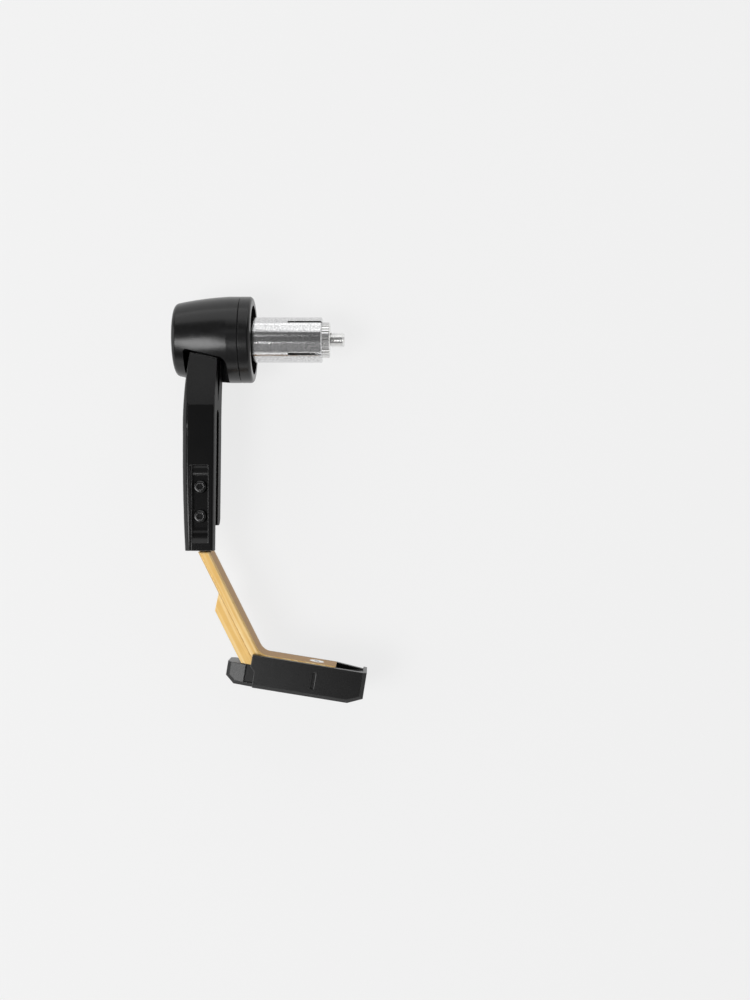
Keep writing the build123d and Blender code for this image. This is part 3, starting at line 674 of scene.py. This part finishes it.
def ring_mesh(name: str, rings: Sequence[Ring], around: int) -> bpy.types.Object:
    """Bridge rings about the X axis into one closed mesh.

    Args:
        name: the piece's name.
        rings: functions from an angle to a place along X and a radius, from the outer end inward.
        around: points in each ring.

    Returns:
        The new object, linked to the scene.
    """
    mesh = bmesh.new()
    loops = []
    for ring in rings:
        loop = []
        for step in range(around):
            angle = tau * step / around
            along, radius = ring(angle)
            loop.append(mesh.verts.new((along, radius * cos(angle), radius * sin(angle))))
        loops.append(loop)
    for near, far in zip(loops, loops[1:]):
        for step in range(around):
            after = (step + 1) % around
            mesh.faces.new((near[step], near[after], far[after], far[step]))
    mesh.faces.new(list(reversed(loops[0])))
    mesh.faces.new(loops[-1])
    bmesh.ops.recalc_face_normals(mesh, faces=mesh.faces)
    data = bpy.data.meshes.new(name)
    mesh.to_mesh(data)
    mesh.free()
    piece = bpy.data.objects.new(name, data)
    bpy.context.collection.objects.link(piece)
    return piece


def round_ring(along: float, radius: float) -> Ring:
    """Return a ring that is round."""
    return lambda angle: (along, radius)


def hex_ring(along: float, across_flats: float) -> Ring:
    """Return a ring that is a hexagon."""
    return lambda angle: (along, across_flats / 2 / cos((angle + pi / 6) % (pi / 3) - pi / 6))


@dataclass
class BarEnd:
    """The tapered body, its end ring and the washer under the bolt's head.

    Attributes:
        body: the tapered body's node.
        ring: the end ring's node.
        washer: the washer's node.
    """

    body: str = "bar_end"
    ring: str = "end_ring"
    washer: str = "bolt_washer"

    def dress(self) -> None:
        """Give the body and ring a turned black finish, and the washer a plated one."""
        black = BAR_END_BLACK.material()
        for node in (self.body, self.ring):
            dress(node, black)
        dress(self.washer, STEEL_BRIGHT.material())


@dataclass
class ExpanderPlug:
    """The slit sleeve, the cone nut and the threaded bolt through them.

    Attributes:
        shank_radius: radius over the bolt's thread.
        thread_pitch: advance of the thread in a turn.
        thread_depth: depth of the thread's groove.
        thread_length: how much of the bolt is threaded, from its tip.
        flank_gain: how much steeper the thread's flanks are than an even zigzag.
        crest_share: how much of the zigzag is cut off to make the crests flat.
        head_height: height of the bolt's head.
        head_round: rounding of the head's rim.
        round_share: how far the middle of that rounding is from its ends' corner, as a share of it.
        socket_width: width of the socket across its flats.
        socket_depth: depth of the socket.
        mouth_share: radius of the socket's mouth, as a share of its width.
        tip_chamfer: chamfer on the bolt's tip.
        around: points round the bolt.
        rows_a_turn: rows of points along one thread pitch.
    """

    shank_radius: float = 2.95 * MM
    thread_pitch: float = 1.0 * MM
    thread_depth: float = 0.55 * MM
    thread_length: float = 24.0 * MM
    flank_gain: float = 1.35
    crest_share: float = 0.15
    head_height: float = 3.0 * MM
    head_round: float = 0.4 * MM
    round_share: float = 0.3
    socket_width: float = 4.0 * MM
    socket_depth: float = 2.0 * MM
    mouth_share: float = 0.62
    tip_chamfer: float = 0.7 * MM
    around: int = 48
    rows_a_turn: int = 10

    def thread_ring(self, along: float, start: float, tip: float) -> Ring:
        """Make one row of the thread.

        Args:
            along: where the row is along X.
            start: where the thread starts.
            tip: where the bolt ends.

        Returns:
            The row's ring, with a groove that winds round the bolt, fades in at the start and meets
            the chamfer at the tip.
        """
        depth = self.thread_depth * min(1.0, (along - start) / self.thread_pitch)
        limit = self.shank_radius - max(0.0, along - (tip - self.tip_chamfer))

        def ring(angle: float) -> tuple[float, float]:
            """Shape the row.

            Args:
                angle: the angle round X, in radians.

            Returns:
                The place along X and the radius there.
            """
            turn = ((along - start) / self.thread_pitch - angle / tau) % 1.0
            zigzag = 1.0 - abs(2.0 * turn - 1.0)
            groove = min(1.0, max(0.0, zigzag * self.flank_gain - self.crest_share))
            return (along, min(self.shank_radius - depth * groove, limit))

        return ring

    def bolt(self) -> bpy.types.Object:
        """Build the bolt with its socket head and thread.

        Returns:
            The bolt, standing for its CAD node.
        """
        low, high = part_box("expander_bolt")
        top, tip, head_radius = low[0], high[0], high[1]
        under = top + self.head_height
        start = tip - self.thread_length
        corner = self.head_round * self.round_share
        rings = [hex_ring(top + self.socket_depth, self.socket_width),
                 hex_ring(top + self.head_round / 2, self.socket_width),
                 round_ring(top, self.socket_width * self.mouth_share),
                 round_ring(top, head_radius - self.head_round),
                 round_ring(top + corner, head_radius - corner),
                 round_ring(top + self.head_round, head_radius),
                 round_ring(under, head_radius),
                 round_ring(under, self.shank_radius),
                 round_ring(start, self.shank_radius)]
        rows = round(self.thread_length / self.thread_pitch * self.rows_a_turn)
        for row in range(1, rows + 1):
            rings.append(self.thread_ring(start + self.thread_length * row / rows, start, tip))
        return ring_mesh("threaded_bolt", rings, self.around)

    def build(self) -> None:
        """Dress the sleeve and nut, and put the threaded bolt in the plain one's place."""
        steel = STEEL_BRIGHT.material()
        dress("expander_sleeve", SLEEVE_BRIGHT.material())
        dress("cone_nut", steel)
        bolt = self.bolt()
        bolt.data.materials.append(steel)
        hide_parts("expander_bolt")
        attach(bolt, Body.BOLT.value)
        log.info("built %s", bolt.name)


@dataclass
class UpperArm:
    """The curved black arm and its two clamp screws.

    Attributes:
        arm: the arm's node.
        screws: the clamp screws' nodes.
    """

    arm: str = "upper_arm"
    screws: tuple[str, str] = ("clamp_screw_upper", "clamp_screw_lower")

    def dress(self) -> None:
        """Give the arm a blasted black finish and the screws a blackened one."""
        dress(self.arm, ARM_BLACK.material())
        black = SCREW_BLACK.material()
        for screw in self.screws:
            dress(screw, black)


@dataclass
class LowerArm:
    """The gold bar with its fin.

    Attributes:
        bar: the bar's node.
    """

    bar: str = "lower_arm"

    def dress(self) -> None:
        """Give the bar a gold anodised finish."""
        dress(self.bar, GOLD.material())


@dataclass
class EndShoe:
    """The moulded shoe, its screw and the insert.

    Attributes:
        shoe: the shoe's node.
        screw: the screw's node.
        insert: the insert's node.
    """

    shoe: str = "end_shoe"
    screw: str = "shoe_screw"
    insert: str = "shoe_insert"

    def dress(self) -> None:
        """Give the shoe a moulded grain, the screw a plated finish and the insert a brass one."""
        dress(self.shoe, NYLON.material())
        dress(self.screw, STEEL_BRIGHT.material())
        dress(self.insert, BRASS.material())


@dataclass(frozen=True)
class Softbox:
    """A soft rectangular lamp that faces a point.

    Attributes:
        name: the lamp's name.
        place: where it stands, in metres.
        size: its width and height, in metres.
        power: its power, in watts.
    """

    name: str
    place: tuple[float, float, float]
    size: tuple[float, float]
    power: float

    def build(self, aim: Vector) -> None:
        """Make the lamp, turned to face a point.

        Args:
            aim: the point that it faces.
        """
        data = bpy.data.lights.new(self.name, "AREA")
        data.shape = "RECTANGLE"
        data.size, data.size_y = self.size
        data.energy = self.power
        lamp = bpy.data.objects.new(self.name, data)
        lamp.location = self.place
        lamp.rotation_euler = (aim - Vector(self.place)).to_track_quat("-Z", "Y").to_euler()
        lamp.visible_camera = False
        bpy.context.collection.objects.link(lamp)


@dataclass
class Studio:
    """The pale floor, the soft lamps, the world and the camera over the guard.

    Attributes:
        floor_tone: the steady tone of the floor.
        floor_gap: how far the floor is below the lowest point of the guard, in metres.
        floor_reach: radius of the floor's flat middle, in metres.
        sweep_radius: radius of the curve that the floor's rim rises in, in metres.
        sweep_steps: steps in that curve.
        around: points round the floor.
        floor_glow: how much of the floor is the steady tone, which takes no shadow.
        floor_albedo: the matt colour of the rest, which the lamps light.
        ambient: the world's own light.
        eye: where the camera stands, in metres.
        lens: focal length, in millimetres.
        sensor: the long side of the sensor, in millimetres.
        near_clip: nearest distance that the camera sees, in metres.
    """

    floor_tone: float = 0.99
    floor_gap: float = 0.1 * MM
    floor_reach: float = 3.6
    sweep_radius: float = 1.0
    sweep_steps: int = 12
    around: int = 96
    floor_glow: float = 0.78
    floor_albedo: float = 0.65
    ambient: float = 0.15
    eye: tuple[float, float, float] = (46.1 * MM, -60.9 * MM, 438.0 * MM)
    lens: float = 41.4
    sensor: float = 36.0
    near_clip: float = 0.01

    def softboxes(self) -> list[Softbox]:
        """Set out large lamps on all sides, a key from the front left and smaller lamps above.

        Returns:
            The lamps.
        """
        return [Softbox("rear_softbox", place=(0.0, 0.95, 0.44), size=(1.6, 0.72), power=3.7),
                Softbox("rear_top_softbox", place=(0.14, 0.64, 0.77), size=(0.52, 0.24), power=0.40),
                Softbox("front_left_key", place=(-0.46, -0.31, 0.97), size=(0.48, 0.44), power=5.1),
                Softbox("left_softbox", place=(-0.95, 0.0, 0.45), size=(1.0, 0.7), power=3.1),
                Softbox("front_softbox", place=(0.0, -1.0, 0.24), size=(1.4, 0.28), power=0.66),
                Softbox("front_top_softbox", place=(0.10, -0.64, 0.77), size=(1.0, 0.90), power=0.42),
                Softbox("right_softbox", place=(0.95, -0.1, 0.45), size=(0.8, 0.6), power=0.9),
                Softbox("overhead_strip", place=(-0.18, 0.27, 1.0), size=(0.14, 0.14), power=0.062)]

    def sees_backdrop(self, shader: ShaderTree) -> bpy.types.NodeSocket:
        """Make a mask of the rays that show the floor as a backdrop: seen directly, in gloss or in glass.

        Args:
            shader: the tree that the mask is made in.

        Returns:
            The mask's socket.
        """
        rays = shader.add("ShaderNodeLightPath").outputs
        relayed = shader.math("MAXIMUM", rays["Is Glossy Ray"], rays["Is Transmission Ray"])
        return shader.math("MAXIMUM", rays["Is Camera Ray"], relayed)

    def floor(self) -> None:
        """Lay the pale floor just under the guard, with a rim that sweeps up all round it."""
        level = CAD_BOX[0][2] - self.floor_gap
        turns = [pi / 2 * step / self.sweep_steps for step in range(self.sweep_steps + 1)]
        rim = [(self.floor_reach + self.sweep_radius * sin(turn),
                level + self.sweep_radius * (1 - cos(turn))) for turn in turns]
        angles = [tau * step / self.around for step in range(self.around)]
        corners = [(radius * cos(angle), radius * sin(angle), height)
                   for radius, height in rim for angle in angles]
        faces = [tuple(range(self.around))]
        for row in range(self.sweep_steps):
            near = row * self.around
            far = near + self.around
            for step in range(self.around):
                after = (step + 1) % self.around
                faces.append((near + step, far + step, far + after, near + after))
        data = bpy.data.meshes.new("studio_floor")
        data.from_pydata(corners, [], faces)
        data.shade_smooth()
        floor = bpy.data.objects.new("studio_floor", data)
        bpy.context.collection.objects.link(floor)
        floor.data.materials.append(self.floor_material())

    def floor_material(self) -> bpy.types.Material:
        """Make the floor part matt under the lamps and part steady tone.

        Returns:
            The floor's material.
        """
        material = bpy.data.materials.new("studio_floor_pale")
        material.use_nodes = True
        shader = ShaderTree(material.node_tree)
        shader.tree.nodes.clear()
        matt = shader.add("ShaderNodeBsdfDiffuse")
        matt.inputs["Color"].default_value = opaque((self.floor_albedo,) * 3)
        glow = shader.add("ShaderNodeEmission")
        glow.inputs["Color"].default_value = opaque((self.floor_tone,) * 3)
        share = shader.math("MULTIPLY", self.sees_backdrop(shader), self.floor_glow)
        blend = shader.add("ShaderNodeMixShader")
        for source, target in zip((share, matt.outputs["BSDF"], glow.outputs["Emission"]), blend.inputs):
            shader.join(source, target)
        out = shader.add("ShaderNodeOutputMaterial")
        shader.join(blend.outputs["Shader"], out.inputs["Surface"])
        return material

    def world(self) -> None:
        """Make a dim even world."""
        world = bpy.data.worlds.new("studio_world")
        world.use_nodes = True
        shader = ShaderTree(world.node_tree)
        shader.tree.nodes.clear()
        light = shader.add("ShaderNodeBackground")
        light.inputs["Color"].default_value = opaque((1.0, 1.0, 1.0))
        light.inputs["Strength"].default_value = self.ambient
        out = shader.add("ShaderNodeOutputWorld")
        shader.join(light.outputs["Background"], out.inputs["Surface"])
        bpy.context.scene.world = world

    def camera(self) -> None:
        """Hang the camera over the guard, looking straight down with the Y axis up the picture."""
        data = bpy.data.cameras.new("overhead_camera")
        data.lens = self.lens
        data.sensor_width = self.sensor
        data.clip_start = self.near_clip
        camera = bpy.data.objects.new("overhead_camera", data)
        camera.location = self.eye
        bpy.context.collection.objects.link(camera)
        bpy.context.scene.camera = camera

    def build(self) -> None:
        """Set up the whole studio."""
        low, high = CAD_BOX
        middle = (Vector(low) + Vector(high)) / 2
        self.floor()
        self.world()
        for softbox in self.softboxes():
            softbox.build(middle)
        self.camera()
        bpy.context.scene.view_settings.view_transform = "Standard"
        log.info("set the studio round %s", middle)


def main() -> None:
    """Dress every piece, and build the threaded bolt and the studio."""
    logging.basicConfig(level=logging.INFO, format="%(name)s: %(message)s")
    BarEnd().dress()
    ExpanderPlug().build()
    UpperArm().dress()
    LowerArm().dress()
    EndShoe().dress()
    Studio().build()


if __name__ == "__main__":
    main()
